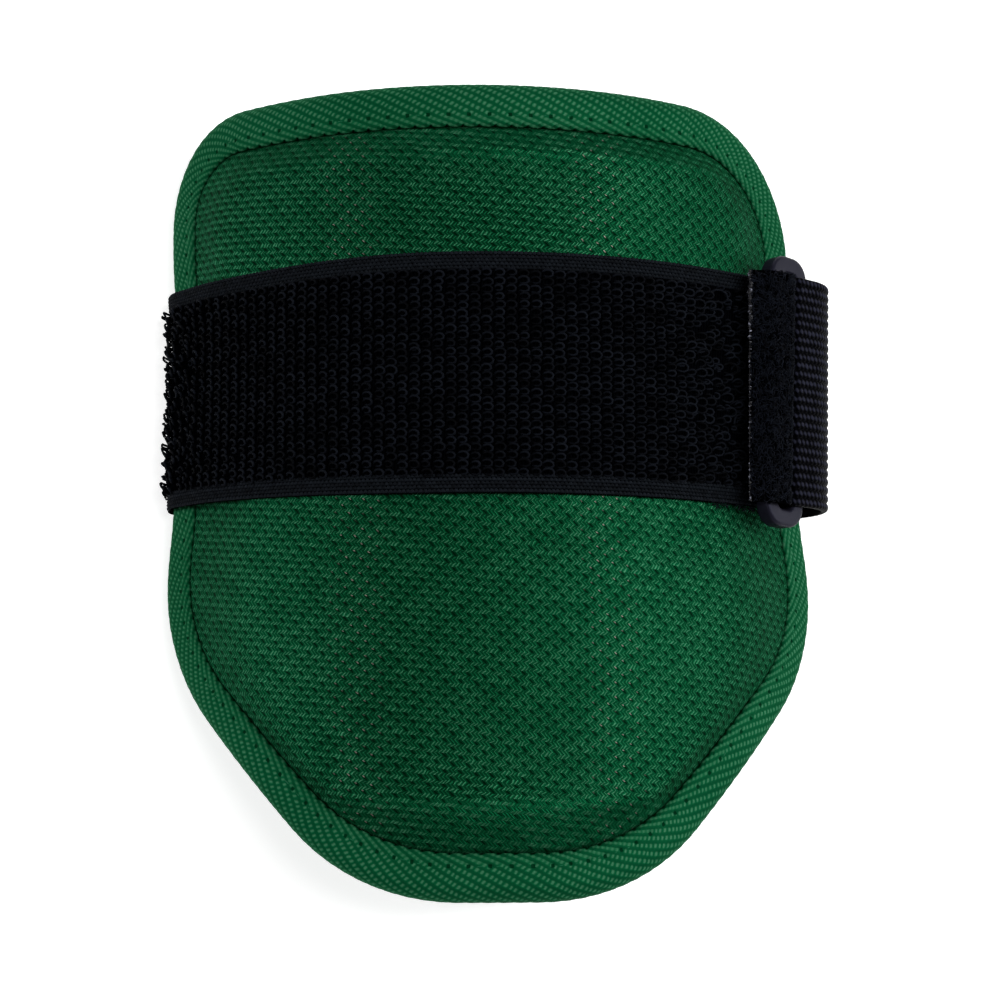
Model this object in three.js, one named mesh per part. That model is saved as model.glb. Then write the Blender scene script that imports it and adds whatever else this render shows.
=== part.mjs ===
// Elbow guard for a batter: a padded half-tube with a bound rim, held by a strap through a ring.
// It lies open side down. X is across the arm, Y along it towards the shoulder, Z up.
// The origin is on the surface below the middle of the strap. All sizes are in millimetres.

import * as THREE from 'three';

const { degToRad, smoothstep } = THREE.MathUtils;

// Section across the arm, on the outer face of the flange: a middle arc, then a flatter flank.
const CROWN_RADIUS = 80;
const CROWN_HALF_ANGLE = degToRad(30);
const FLANK_RADIUS = 110;
const CROWN_HEIGHT = 42;

// The tight strap draws the rim in by this share of its width, over this reach along the arm.
const WAIST_SHARE = 0.046;
const WAIST_MIDDLE = -7;
const WAIST_REACH = 33;

// The soft shell sits a little askew: its pattern shifts sideways by this share of the way along.
const SKEW = -0.024;

// Corners of the cut outline, laid flat, run clockwise from the upper right.
const OUTLINE_CORNERS = [
  { across: 79, along: 63, radius: 34 },
  { across: 88.2, along: -55, radius: 44 },
  { across: 29.9, along: -108.7, radius: 54 },
  { across: -29.9, along: -108.7, radius: 54 },
  { across: -85.9, along: -55, radius: 50 },
  { across: -80.3, along: 64.2, radius: 25 },
];

// Corners of the raised panel, laid flat the same way.
const PANEL_CORNERS = [
  { across: 62, along: 47.5, radius: 14 },
  { across: 62.5, along: -58.5, radius: 40 },
  { across: 31, along: -88, radius: 10 },
  { across: -31, along: -88, radius: 10 },
  { across: -62.5, along: -58.5, radius: 40 },
  { across: -62, along: 47.5, radius: 14 },
];

// The padded shell.
const FLANGE_THICKNESS = 4.5;
const PANEL_RISE = 4;
const SHELL_MIDDLE = { across: 0, along: -18 };

// The binding tape, folded over the rim.
const BINDING_WIDTH = 10;
const BINDING_THICKNESS = 1.2;

// The elastic strap, with a thick pile between two flat selvages.
const STRAP_WIDTH = 50.8;
const SELVAGE_WIDTH = 4;
const SELVAGE_THICKNESS = 1.2;
const PILE_THICKNESS = 2;
const FOLD_TAIL = 3.65;
const FOLD_BEND_RADIUS = 5;
const FOLD_DROOP = degToRad(35);
const EDGE_ROLL_RADIUS = 12;
const EDGE_FOOT_RADIUS = 3.5;
const STRAP_END_ACROSS = 30;

// The stretched strap narrows by this share on its way out to the left edge.
const NECK_SHARE = 0.045;
const NECK_START = 10;
const NECK_END = 68;

// The plastic ring, which lies on the right flank where that leans by RING_LEAN.
// It is turned in its own plane: it shifts down the flank by RING_SKEW of the way along the arm.
const RING_LEAN = degToRad(41.2);
const RING_SKEW = 0.058;
const RING_LENGTH = 60;
const RING_WIDTH = 11.6;
const RING_THICKNESS = 3.8;
const RING_CORNER_RADIUS = 4.6;
const RING_EDGE_ROUND = 0.8;
const SLOT_LENGTH = 52.4;
const SLOT_WIDTH = 4.8;
const SLOT_CORNER_RADIUS = 1.6;

// The webbing from the ring round the right edge, lapped over the end of the strap.
const WEBBING_THICKNESS = 1.5;
const WEBBING_TAIL = 6;
const WEBBING_LEAD = 1.2;
const LAP_TURN = degToRad(44);
const LAP_END_ACROSS = -8;

// Pieces that touch keep this gap.
const GAP = 0.3;

// Fineness of the meshes.
const OUTLINE_STEPS = 112;
const MATCH_STEPS = 480;
const NOSE_STEPS = 5;
const FACE_SHARES = [0.12, 0.3, 0.48, 0.66, 0.84];
const BEVEL_SHARES = [0, 0.25, 0.5, 0.75, 1];
const BACK_SHARES = [0.96, 0.82, 0.64, 0.46, 0.28, 0.12];
const FOLD_STEPS = 6;
const LEG_STEPS = 4;
const CROWN_STEPS = 20;
const LOOP_STEPS = 14;
const RING_CORNER_STEPS = 5;
const RING_ROUND_STEPS = 2;

const GREEN_COVER = { color: 0x0e432a, roughness: 0.85, metalness: 0 };
const GREEN_TAPE = { color: 0x174d31, roughness: 0.75, metalness: 0 };
const BLACK_ELASTIC = { color: 0x08090b, roughness: 0.95, metalness: 0 };
const BLACK_PLASTIC = { color: 0x1d1d20, roughness: 0.45, metalness: 0 };
const BLACK_WEBBING = { color: 0x141519, roughness: 0.8, metalness: 0 };

// How far the section has dropped below its crown where it leans by this angle.
function dropAt(lean) {
  const crownLean = Math.min(lean, CROWN_HALF_ANGLE);
  const flankLean = Math.max(lean, CROWN_HALF_ANGLE);
  const crownDrop = CROWN_RADIUS * (1 - Math.cos(crownLean));
  return crownDrop + FLANK_RADIUS * (Math.cos(CROWN_HALF_ANGLE) - Math.cos(flankLean));
}

// How far out from the middle the section is where it leans by this angle.
function reachAt(lean) {
  const crownLean = Math.min(lean, CROWN_HALF_ANGLE);
  const flankLean = Math.max(lean, CROWN_HALF_ANGLE);
  const crownReach = CROWN_RADIUS * Math.sin(crownLean);
  return crownReach + FLANK_RADIUS * (Math.sin(flankLean) - Math.sin(CROWN_HALF_ANGLE));
}

// The lean of the section at a distance along it from the middle.
function leanAt(distance) {
  const crownLength = CROWN_RADIUS * CROWN_HALF_ANGLE;
  if (distance < crownLength) {
    return distance / CROWN_RADIUS;
  }
  return CROWN_HALF_ANGLE + (distance - crownLength) / FLANK_RADIUS;
}

function waistAt(along) {
  return 1 - WAIST_SHARE * Math.exp(-(((along - WAIST_MIDDLE) / WAIST_REACH) ** 4));
}

// Bends a point of the flat pattern into the guard's form, at a height above the flange.
function bend({ across, along }, height) {
  const shifted = across + SKEW * along;
  const side = Math.sign(shifted);
  const lean = leanAt(Math.abs(shifted) * waistAt(along));
  const x = reachAt(lean) + height * Math.sin(lean);
  const z = CROWN_HEIGHT - dropAt(lean) + height * Math.cos(lean);
  return new THREE.Vector3(side * x, along, z);
}

// A closed outline with rounded corners, run clockwise.
function roundedOutline(corners) {
  const points = corners.map((row) => new THREE.Vector2(row.across, row.along));
  const path = new THREE.Path();
  corners.forEach(({ radius }, index) => {
    const corner = points[index];
    const before = points.at(index - 1).clone().sub(corner).normalize();
    const after = points[(index + 1) % points.length].clone().sub(corner).normalize();
    const halfAngle = Math.acos(before.dot(after)) / 2;
    const inward = before.clone().add(after).normalize();
    const centre = corner.clone().addScaledVector(inward, radius / Math.sin(halfAngle));
    const reach = radius / Math.tan(halfAngle);
    const start = corner.clone().addScaledVector(before, reach).sub(centre);
    const end = corner.clone().addScaledVector(after, reach).sub(centre);
    path.absarc(centre.x, centre.y, radius, start.angle(), end.angle(), true);
  });
  path.closePath();
  return path;
}

// Evenly spaced points of a closed outline, each with its direction to the inside.
function outlineStations(path, count) {
  const points = path.getSpacedPoints(count).slice(0, count);
  return points.map((point, index) => {
    const next = points[(index + 1) % count];
    const ahead = next.clone().sub(points.at(index - 1)).normalize();
    return { point, inward: new THREE.Vector2(ahead.y, -ahead.x) };
  });
}

const outline = outlineStations(roundedOutline(OUTLINE_CORNERS), OUTLINE_STEPS);
const panelPoints = roundedOutline(PANEL_CORNERS).getSpacedPoints(MATCH_STEPS);
const shellMiddle = new THREE.Vector2(SHELL_MIDDLE.across, SHELL_MIDDLE.along);

function insetPoint({ point, inward }, inset) {
  return point.clone().addScaledVector(inward, inset);
}

// The point of the panel's edge that lies towards a station, seen from the middle of the shell.
function panelPointTowards({ point }) {
  const ray = point.clone().sub(shellMiddle);
  for (let index = 0; index < MATCH_STEPS; index += 1) {
    const first = panelPoints[index].clone().sub(shellMiddle);
    const second = panelPoints[index + 1].clone().sub(shellMiddle);
    const firstSide = ray.cross(first);
    const secondSide = ray.cross(second);
    if (firstSide >= 0 && secondSide < 0 && ray.dot(first) > 0) {
      const share = firstSide / (firstSide - secondSide);
      return first.lerp(second, share).add(shellMiddle);
    }
  }
  throw new Error('the panel has no edge in this direction');
}

function bendPoint(point, height) {
  return bend({ across: point.x, along: point.y }, height);
}

function signedVolume(vertices, triangles) {
  return triangles.reduce((sum, [a, b, c]) => {
    const cross = vertices[b].clone().cross(vertices[c]);
    return sum + vertices[a].dot(cross) / 6;
  }, 0);
}

// A closed skin over rings of equal count. The ends meet, or are closed by fans to a middle point.
function skin(rings, { endsMeet = false } = {}) {
  const count = rings[0].length;
  const vertices = rings.flat();
  const triangles = [];
  const bands = endsMeet ? rings.length : rings.length - 1;
  for (let band = 0; band < bands; band += 1) {
    const here = band * count;
    const there = ((band + 1) % rings.length) * count;
    for (let step = 0; step < count; step += 1) {
      const next = (step + 1) % count;
      triangles.push([here + step, here + next, there + step]);
      triangles.push([here + next, there + next, there + step]);
    }
  }
  if (!endsMeet) {
    const last = (rings.length - 1) * count;
    addFan(vertices, triangles, 0, count, true);
    addFan(vertices, triangles, last, count, false);
  }
  if (signedVolume(vertices, triangles) < 0) {
    triangles.forEach((triangle) => triangle.reverse());
  }
  const geometry = new THREE.BufferGeometry().setFromPoints(vertices);
  geometry.setIndex(triangles.flat());
  geometry.computeVertexNormals();
  return geometry;
}

function addFan(vertices, triangles, start, count, reversed) {
  const middle = new THREE.Vector3();
  for (let step = 0; step < count; step += 1) {
    middle.addScaledVector(vertices[start + step], 1 / count);
  }
  const hub = vertices.push(middle) - 1;
  for (let step = 0; step < count; step += 1) {
    const next = (step + 1) % count;
    const triangle = [hub, start + step, start + next];
    triangles.push(reversed ? triangle.reverse() : triangle);
  }
}

// The round nose that the shell's rim and the tape over it share, from the front to the back.
function noseSection(radius) {
  const noseInset = FLANGE_THICKNESS / 2 + GAP + BINDING_THICKNESS;
  return Array.from({ length: NOSE_STEPS + 1 }, (_, step) => {
    const turn = Math.PI * (0.5 + step / NOSE_STEPS);
    const inset = noseInset + radius * Math.cos(turn);
    return { inset, height: radius * Math.sin(turn) - FLANGE_THICKNESS / 2 };
  });
}

// The padded shell: rings from the middle of its face, over the rim, to the middle of its back.
function shellGeometry() {
  const panelEdge = outline.map(panelPointTowards);
  const bevelFoot = outline.map((station) => insetPoint(station, BINDING_WIDTH));
  const ringAt = (points, height) => points.map((point) => bendPoint(point, height));
  const fromMiddle = (points, share) => points.map((point) => shellMiddle.clone().lerp(point, share));
  const bevelRing = (share) => {
    const points = panelEdge.map((point, index) => point.clone().lerp(bevelFoot[index], share));
    return ringAt(points, PANEL_RISE * (1 - smoothstep(share, 0, 1)));
  };
  const face = FACE_SHARES.map((share) => ringAt(fromMiddle(panelEdge, share), PANEL_RISE));
  const bevel = BEVEL_SHARES.map(bevelRing);
  const rim = noseSection(FLANGE_THICKNESS / 2).map(({ inset, height }) => {
    return ringAt(outline.map((station) => insetPoint(station, inset)), height);
  });
  const back = BACK_SHARES.map((share) => ringAt(fromMiddle(bevelFoot, share), -FLANGE_THICKNESS));
  return skin([...face, ...bevel, ...rim, ...back]);
}

// The folded tape: a thick U round the rim, with a round nose.
function bindingGeometry() {
  const frontFace = GAP + BINDING_THICKNESS;
  const backFace = -FLANGE_THICKNESS - GAP - BINDING_THICKNESS;
  const noseRadius = (frontFace - backFace) / 2;
  const outside = noseSection(noseRadius);
  const inside = noseSection(noseRadius - BINDING_THICKNESS).reverse();
  const section = [
    { inset: BINDING_WIDTH, height: frontFace },
    ...outside,
    { inset: BINDING_WIDTH, height: backFace },
    { inset: BINDING_WIDTH, height: backFace + BINDING_THICKNESS },
    ...inside,
    { inset: BINDING_WIDTH, height: frontFace - BINDING_THICKNESS },
  ];
  const rings = outline.map((station) => section.map(({ inset, height }) => {
    return bendPoint(insetPoint(station, inset), height);
  }));
  return skin(rings, { endsMeet: true });
}

// Walks a route in the X-Z plane: straight legs, and turns that are positive to the left.
// Each station has its place and its direction to the right of the way ahead.
function walkRoute(start, heading, legs) {
  const place = start.clone();
  let angle = heading;
  const right = () => new THREE.Vector2(Math.sin(angle), -Math.cos(angle));
  const stations = [{ place: place.clone(), right: right() }];
  legs.forEach(({ straight = 0, turn = 0, radius = 0, steps = 1 }) => {
    const stepTurn = turn / steps;
    const chord = straight / steps + 2 * radius * Math.sin(Math.abs(stepTurn) / 2);
    for (let step = 0; step < steps; step += 1) {
      angle += stepTurn / 2;
      place.x += chord * Math.cos(angle);
      place.y += chord * Math.sin(angle);
      angle += stepTurn / 2;
      stations.push({ place: place.clone(), right: right() });
    }
  });
  return stations;
}

// The share of its width that a strap keeps at a place across the guard.
function neckAt(x) {
  return 1 - NECK_SHARE * smoothstep(-x, NECK_START, NECK_END);
}

// A band along a route, from its section's corners: place along the arm, depth to the right.
function bandGeometry(section, routeAt) {
  const routes = section.map(({ along }) => routeAt(along));
  const rings = routes[0].map((_, index) => section.map(({ along, depth }, corner) => {
    const { place, right } = routes[corner][index];
    const point = place.clone().addScaledVector(right, depth);
    return new THREE.Vector3(point.x, along * neckAt(point.x), point.y);
  }));
  return skin(rings);
}

const strapLift = PANEL_RISE + GAP;
const barClearance = GAP + PILE_THICKNESS;
const barWidth = (RING_WIDTH - SLOT_WIDTH) / 2;
const ringLift = strapLift + barClearance + RING_THICKNESS / 2;

// The ring's lean at a place along the arm, and the places on it: down the flank, and out from it.
function ringFrame(along) {
  const lean = RING_LEAN + (RING_SKEW * along) / (FLANK_RADIUS + ringLift);
  const down = new THREE.Vector2(Math.cos(lean), -Math.sin(lean));
  const out = new THREE.Vector2(Math.sin(lean), Math.cos(lean));
  const centre = new THREE.Vector2(reachAt(lean), CROWN_HEIGHT - dropAt(lean))
    .addScaledVector(out, ringLift)
    .addScaledVector(down, SLOT_WIDTH / 2);
  const placeAt = (downward, outward) => {
    return centre.clone().addScaledVector(down, downward).addScaledVector(out, outward);
  };
  return { lean, placeAt };
}

// The lean of the guard's left edge at a place along the arm, between the pattern's side corners.
function leftEdgeLean(along) {
  const upper = OUTLINE_CORNERS.at(-1);
  const lower = OUTLINE_CORNERS.at(-2);
  const share = (upper.along - along) / (upper.along - lower.along);
  const across = upper.across + share * (lower.across - upper.across);
  return leanAt(-(across + SKEW * along) * waistAt(along));
}

// The strap's napped face: folded over the ring's bar, over the guard, round the left edge, and back.
function strapRoute(along) {
  const edgeReach = reachAt(leftEdgeLean(along)) + 2 * GAP;
  const flankOrigin = (CROWN_RADIUS - FLANK_RADIUS) * Math.sin(CROWN_HALF_ANGLE);
  const flankRadius = FLANK_RADIUS + strapLift;
  const rollShare = (edgeReach - flankOrigin - EDGE_ROLL_RADIUS) / (flankRadius - EDGE_ROLL_RADIUS);
  const rollLean = Math.asin(rollShare);
  const rollEnd = CROWN_HEIGHT - dropAt(rollLean) + (strapLift - EDGE_ROLL_RADIUS) * Math.cos(rollLean);
  const floorLength = STRAP_END_ACROSS + edgeReach - EDGE_FOOT_RADIUS;
  const tail = FOLD_TAIL + RING_SKEW * along;
  const foldRun = tail * Math.cos(FOLD_DROOP) + FOLD_BEND_RADIUS * Math.sin(FOLD_DROOP);
  const foldSink = tail * Math.sin(FOLD_DROOP) + FOLD_BEND_RADIUS * (1 - Math.cos(FOLD_DROOP));
  const foldTop = RING_THICKNESS / 2 + barClearance;
  const { lean, placeAt } = ringFrame(along);
  const start = placeAt(-RING_WIDTH / 2 - foldRun, foldTop - foldSink);
  return walkRoute(start, FOLD_DROOP - lean, [
    { straight: tail },
    { turn: -FOLD_DROOP, radius: FOLD_BEND_RADIUS, steps: LEG_STEPS },
    { straight: barWidth },
    { turn: -Math.PI / 2, radius: barClearance, steps: FOLD_STEPS },
    { straight: RING_THICKNESS },
    { turn: -Math.PI / 2, radius: barClearance, steps: FOLD_STEPS },
    { turn: lean - CROWN_HALF_ANGLE, radius: flankRadius, steps: LEG_STEPS },
    { turn: 2 * CROWN_HALF_ANGLE, radius: CROWN_RADIUS + strapLift, steps: CROWN_STEPS },
    { turn: rollLean - CROWN_HALF_ANGLE, radius: flankRadius, steps: LEG_STEPS },
    { turn: Math.PI / 2 - rollLean, radius: EDGE_ROLL_RADIUS, steps: LEG_STEPS },
    { straight: rollEnd - EDGE_FOOT_RADIUS - PILE_THICKNESS },
    { turn: Math.PI / 2, radius: EDGE_FOOT_RADIUS, steps: FOLD_STEPS },
    { straight: floorLength },
  ]);
}

function strapGeometry() {
  const edge = STRAP_WIDTH / 2;
  const pileEdge = edge - SELVAGE_WIDTH;
  return bandGeometry([
    { along: -edge, depth: 0 },
    { along: -edge, depth: SELVAGE_THICKNESS },
    { along: -pileEdge, depth: SELVAGE_THICKNESS },
    { along: -pileEdge, depth: PILE_THICKNESS },
    { along: pileEdge, depth: PILE_THICKNESS },
    { along: pileEdge, depth: SELVAGE_THICKNESS },
    { along: edge, depth: SELVAGE_THICKNESS },
    { along: edge, depth: 0 },
  ], strapRoute);
}

// The webbing's ribbed face: out from under the ring's bar, over it, round the edge, and lapped.
function webbingRoute(along) {
  const clearance = GAP + WEBBING_THICKNESS;
  const { lean, placeAt } = ringFrame(along);
  const start = placeAt(SLOT_WIDTH / 2 + WEBBING_TAIL, -RING_THICKNESS / 2 - clearance);
  const overBar = barWidth + WEBBING_LEAD;
  const loopStart = placeAt(SLOT_WIDTH / 2 + overBar, RING_THICKNESS / 2 + clearance);
  const loopRadius = loopStart.y / (1 + Math.cos(lean));
  const loopFoot = loopStart.x - loopRadius * Math.sin(lean);
  const lapRise = PILE_THICKNESS + GAP;
  const lapRadius = lapRise / (2 * (1 - Math.cos(LAP_TURN)));
  const lapRun = 2 * lapRadius * Math.sin(LAP_TURN);
  const lapStart = STRAP_END_ACROSS + lapRun + 2 * GAP;
  return walkRoute(start, Math.PI - lean, [
    { straight: WEBBING_TAIL },
    { turn: -Math.PI / 2, radius: clearance, steps: FOLD_STEPS },
    { straight: RING_THICKNESS },
    { turn: -Math.PI / 2, radius: clearance, steps: FOLD_STEPS },
    { straight: overBar },
    { turn: lean - Math.PI, radius: loopRadius, steps: LOOP_STEPS },
    { straight: loopFoot - lapStart },
    { turn: -LAP_TURN, radius: lapRadius, steps: LEG_STEPS },
    { turn: LAP_TURN, radius: lapRadius, steps: LEG_STEPS },
    { straight: STRAP_END_ACROSS - LAP_END_ACROSS },
  ]);
}

function webbingGeometry() {
  const edge = STRAP_WIDTH / 2;
  return bandGeometry([
    { along: -edge, depth: 0 },
    { along: -edge, depth: WEBBING_THICKNESS },
    { along: edge, depth: WEBBING_THICKNESS },
    { along: edge, depth: 0 },
  ], webbingRoute);
}

// Traces a rectangle with round corners, centred, into a path or a shape.
function roundedRectangle(path, width, length, radius) {
  const x = width / 2 - radius;
  const y = length / 2 - radius;
  path.absarc(x, y, radius, 0, Math.PI / 2);
  path.absarc(-x, y, radius, Math.PI / 2, Math.PI);
  path.absarc(-x, -y, radius, Math.PI, 1.5 * Math.PI);
  path.absarc(x, -y, radius, 1.5 * Math.PI, 2 * Math.PI);
  path.closePath();
  return path;
}

function ringGeometry() {
  const shape = roundedRectangle(new THREE.Shape(), RING_WIDTH, RING_LENGTH, RING_CORNER_RADIUS);
  shape.holes.push(roundedRectangle(new THREE.Path(), SLOT_WIDTH, SLOT_LENGTH, SLOT_CORNER_RADIUS));
  const depth = RING_THICKNESS - 2 * RING_EDGE_ROUND;
  const geometry = new THREE.ExtrudeGeometry(shape, {
    depth,
    curveSegments: RING_CORNER_STEPS,
    bevelThickness: RING_EDGE_ROUND,
    bevelSize: RING_EDGE_ROUND,
    bevelOffset: -RING_EDGE_ROUND,
    bevelSegments: RING_ROUND_STEPS,
  });
  return geometry.translate(0, 0, -depth / 2).rotateZ(-Math.atan(RING_SKEW));
}

function namedMesh(name, geometry, finish) {
  const mesh = new THREE.Mesh(geometry, new THREE.MeshStandardMaterial(finish));
  mesh.name = name;
  return mesh;
}

const guard = new THREE.Group();
guard.add(namedMesh('guard_pad', shellGeometry(), GREEN_COVER));
guard.add(namedMesh('edge_binding', bindingGeometry(), GREEN_TAPE));
guard.add(namedMesh('elastic_strap', strapGeometry(), BLACK_ELASTIC));
guard.add(namedMesh('webbing_strap', webbingGeometry(), BLACK_WEBBING));

const ring = namedMesh('buckle_ring', ringGeometry(), BLACK_PLASTIC);
const ringCentre = ringFrame(0).placeAt(0, 0);
ring.position.set(ringCentre.x, 0, ringCentre.y);
ring.rotation.y = RING_LEAN;
guard.add(ring);

export default guard;
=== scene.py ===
"""The looks of a batter's elbow guard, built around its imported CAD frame.

Lengths in the code are in millimetres and angles in radians, and pieces are scaled to metres when
they are made. A point of the cover is given by its place on the flat cut pattern, across the arm and
along it, and by its height above the outer face of the flange.
"""

from math import acos, asin, atan, atan2, cos, pi, radians, sin, tan

import bpy
import numpy as np
from mathutils import Matrix, Vector
from mathutils.geometry import delaunay_2d_cdt


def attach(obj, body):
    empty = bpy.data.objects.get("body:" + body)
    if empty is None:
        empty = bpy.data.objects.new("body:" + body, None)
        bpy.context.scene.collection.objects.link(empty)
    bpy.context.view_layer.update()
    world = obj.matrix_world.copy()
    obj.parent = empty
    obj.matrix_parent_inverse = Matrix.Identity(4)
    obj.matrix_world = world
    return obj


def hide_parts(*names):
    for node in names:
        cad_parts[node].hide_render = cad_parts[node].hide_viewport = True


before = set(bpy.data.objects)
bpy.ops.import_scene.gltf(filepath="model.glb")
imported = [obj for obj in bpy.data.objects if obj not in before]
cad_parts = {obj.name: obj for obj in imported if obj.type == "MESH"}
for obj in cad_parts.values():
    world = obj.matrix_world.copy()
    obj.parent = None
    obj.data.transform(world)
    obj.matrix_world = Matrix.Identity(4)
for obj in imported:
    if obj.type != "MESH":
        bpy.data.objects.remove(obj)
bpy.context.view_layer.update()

MM = 0.001
TAU = 2 * pi
WHITE = (1, 1, 1, 1)
rng = np.random.default_rng(7)

# Sizes of the CAD frame, repeated here because its source isn't there when this runs.
CROWN_RADIUS = 80.0
CROWN_HALF = radians(30)
FLANK_RADIUS = 110.0
CROWN_HEIGHT = 42.0
WAIST_SHARE = 0.046
WAIST_MIDDLE = -7.0
WAIST_REACH = 33.0
SKEW = -0.024
OUTLINE_CORNERS = [
    # across, along, radius
    (79, 63, 34),
    (88.2, -55, 44),
    (29.9, -108.7, 54),
    (-29.9, -108.7, 54),
    (-85.9, -55, 50),
    (-80.3, 64.2, 25),
]
PANEL_CORNERS = [
    (62, 47.5, 14),
    (62.5, -58.5, 40),
    (31, -88, 10),
    (-31, -88, 10),
    (-62.5, -58.5, 40),
    (-62, 47.5, 14),
]
SHELL_MIDDLE = np.array([0.0, -18.0])
FLANGE_DEPTH = 4.5
PANEL_RISE = 4.0
TAPE_WIDTH = 10.0
TAPE_DEPTH = 1.2
GAP = 0.3
STRAP_HALF = 25.4
SELVAGE_WIDTH = 4.0
PILE_DEPTH = 2.0
FOLD_TAIL = 3.65
FOLD_BEND_RADIUS = 5.0
FOLD_DROOP = radians(35)
EDGE_ROLL_RADIUS = 12.0
EDGE_FOOT_RADIUS = 3.5
STRAP_END_ACROSS = 30.0
NECK_SHARE = 0.045
NECK_START = 10.0
NECK_END = 68.0
RING_LEAN = radians(41.2)
RING_SKEW = 0.058
RING_LENGTH = 60.0
RING_WIDTH = 11.6
RING_DEPTH = 3.8
RING_CORNER = 4.6
SLOT_LENGTH = 52.4
SLOT_WIDTH = 4.8
SLOT_CORNER = 1.6
WEB_DEPTH = 1.5
WEB_TAIL = 6.0
WEB_LEAD = 1.2
LAP_TURN = radians(44)
LAP_END_ACROSS = -8.0

# Cloth detail, measured on the photograph.
KNIT_ACROSS = 3.13
KNIT_ALONG = 3.08
KNIT_ROW_SLOPE = 0.11
KNIT_COLUMN_SLOPE = 0.03
KNIT_STROKES = 4
KNIT_SWING = 0.75
BEVEL_TOP = 47.5
BEVEL_BOTTOM = -88.0
HOLE_DEPTH = 0.12
HOLE_ROW = 0.625
RIB_PITCH = 3.4
RIB_SLOPE = tan(radians(29))
RIB_RELIEF = 0.2
BEAD_PITCH = 1.4
BEAD_SLANT = 0.85
STITCH_PITCH = 4.3
STITCH_INSET = 2.6
HEM_TURN = 1.6
HEM_SHIFT = 1.9
FOLD_TAIL_SLOPE = 0.023
LOOP_COLUMN = 2.48
LOOP_ROW = 1.67
SELVAGE_CORDS = 5
CORD_STITCH = 0.9
WEB_RIBS = 27
WEB_PITCH = 2 * STRAP_HALF / WEB_RIBS
WEB_TWIST = 1.3
WEB_SLANT = 0.6
WEB_SMOOTH_FROM = 22.0


# Helpers: meshes

def add_object(name, data):
    made = bpy.data.objects.new(name, data)
    bpy.context.scene.collection.objects.link(made)
    return made


def make_piece(name, points, faces, material, slot, uv=None):
    """A smooth piece that rides on the part. uv is in millimetres, for each point or each face corner."""
    mesh = bpy.data.meshes.new(name)
    lists = [corner for block in faces for corner in block.tolist()]
    mesh.from_pydata((points * MM).tolist(), [], lists)
    mesh.polygons.foreach_set("use_smooth", np.ones(len(mesh.polygons), bool))
    if uv is not None:
        layer = mesh.uv_layers.new(name="pattern")
        if len(uv) == len(points):
            corner_points = np.empty(len(mesh.loops), np.int32)
            mesh.loops.foreach_get("vertex_index", corner_points)
            uv = uv[corner_points]
        layer.uv.foreach_set("vector", np.asarray(uv, np.float32).ravel())
    mesh.materials.append(material)
    mesh.validate()
    piece = add_object(name, mesh)
    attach(piece, "root")
    return piece


def unit(vectors):
    return vectors / np.maximum(np.linalg.norm(vectors, axis=-1, keepdims=True), 1e-9)


def joined(*values):
    """Values side by side on a new last axis."""
    return np.stack(np.broadcast_arrays(*values), -1)


def grid_quads(rows, columns, rows_meet=False, columns_meet=False):
    """Faces of a grid whose points are numbered row by row."""
    r = np.arange(rows if rows_meet else rows - 1)[:, None]
    c = np.arange(columns if columns_meet else columns - 1)[None, :]
    next_r = (r + 1) % rows
    next_c = (c + 1) % columns
    corners = [r * columns + c, r * columns + next_c, next_r * columns + next_c, next_r * columns + c]
    return joined(*corners).reshape(-1, 4)


def faces_up(points, faces):
    """Whether the first face looks up."""
    a, b, c = (points[faces[0, k]] for k in (0, 1, -1))
    return np.cross(b - a, c - a)[2] > 0


def tubes(lines, radius, sides=4):
    """Points and faces of round yarns, closed at both ends, along lines[yarn, step, xyz]."""
    count, steps = lines.shape[:2]
    ahead = unit(np.gradient(lines, axis=1))
    reference = np.where(np.abs(ahead[..., 2:]) < 0.9, [[[0.0, 0.0, 1.0]]], [[[0.0, 1.0, 0.0]]])
    side = unit(np.cross(ahead, reference))
    up = np.cross(side, ahead)
    turn = TAU * np.arange(sides) / sides
    radius = np.broadcast_to(np.asarray(radius, float), (count, steps))[..., None, None]
    spokes = side[:, :, None] * np.cos(turn)[:, None] + up[:, :, None] * np.sin(turn)[:, None]
    points = (lines[:, :, None] + radius * spokes).reshape(-1, 3)
    first = (np.arange(count) * steps * sides)[:, None, None]
    around = grid_quads(steps, sides, columns_meet=True)[None]
    rim = np.arange(sides)
    start_cap = first[:, 0] + rim[None]
    end_cap = first[:, 0] + (steps - 1) * sides + rim[None, ::-1]
    return points, [(first + around)[..., ::-1].reshape(-1, 4), start_cap, end_cap]


def ease(share):
    share = np.clip(share, 0, 1)
    return share * share * (3 - 2 * share)


# Helpers: the form of the guard

def arch(lean):
    """How far out and how high the outer face of the flange is, where it leans so far."""
    inner, outer = np.minimum(lean, CROWN_HALF), np.maximum(lean, CROWN_HALF)
    reach = CROWN_RADIUS * np.sin(inner) + FLANK_RADIUS * (np.sin(outer) - sin(CROWN_HALF))
    drop = CROWN_RADIUS * (1 - np.cos(inner)) + FLANK_RADIUS * (cos(CROWN_HALF) - np.cos(outer))
    return reach, CROWN_HEIGHT - drop


def lean_at(distance):
    crown = CROWN_RADIUS * CROWN_HALF
    on_flank = CROWN_HALF + (distance - crown) / FLANK_RADIUS
    return np.where(distance < crown, distance / CROWN_RADIUS, on_flank)


def waist_at(along):
    return 1 - WAIST_SHARE * np.exp(-(((along - WAIST_MIDDLE) / WAIST_REACH) ** 4))


def bend(across, along, height):
    """Points of the bent shell, from places on the flat pattern and heights above the flange."""
    shifted = across + SKEW * along
    lean = lean_at(np.abs(shifted) * waist_at(along))
    reach, level = arch(lean)
    x = np.sign(shifted) * (reach + height * np.sin(lean))
    z = level + height * np.cos(lean)
    return joined(x, along, z)


RIM_STATIONS = 1200
CORNER_STEPS = 200


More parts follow.
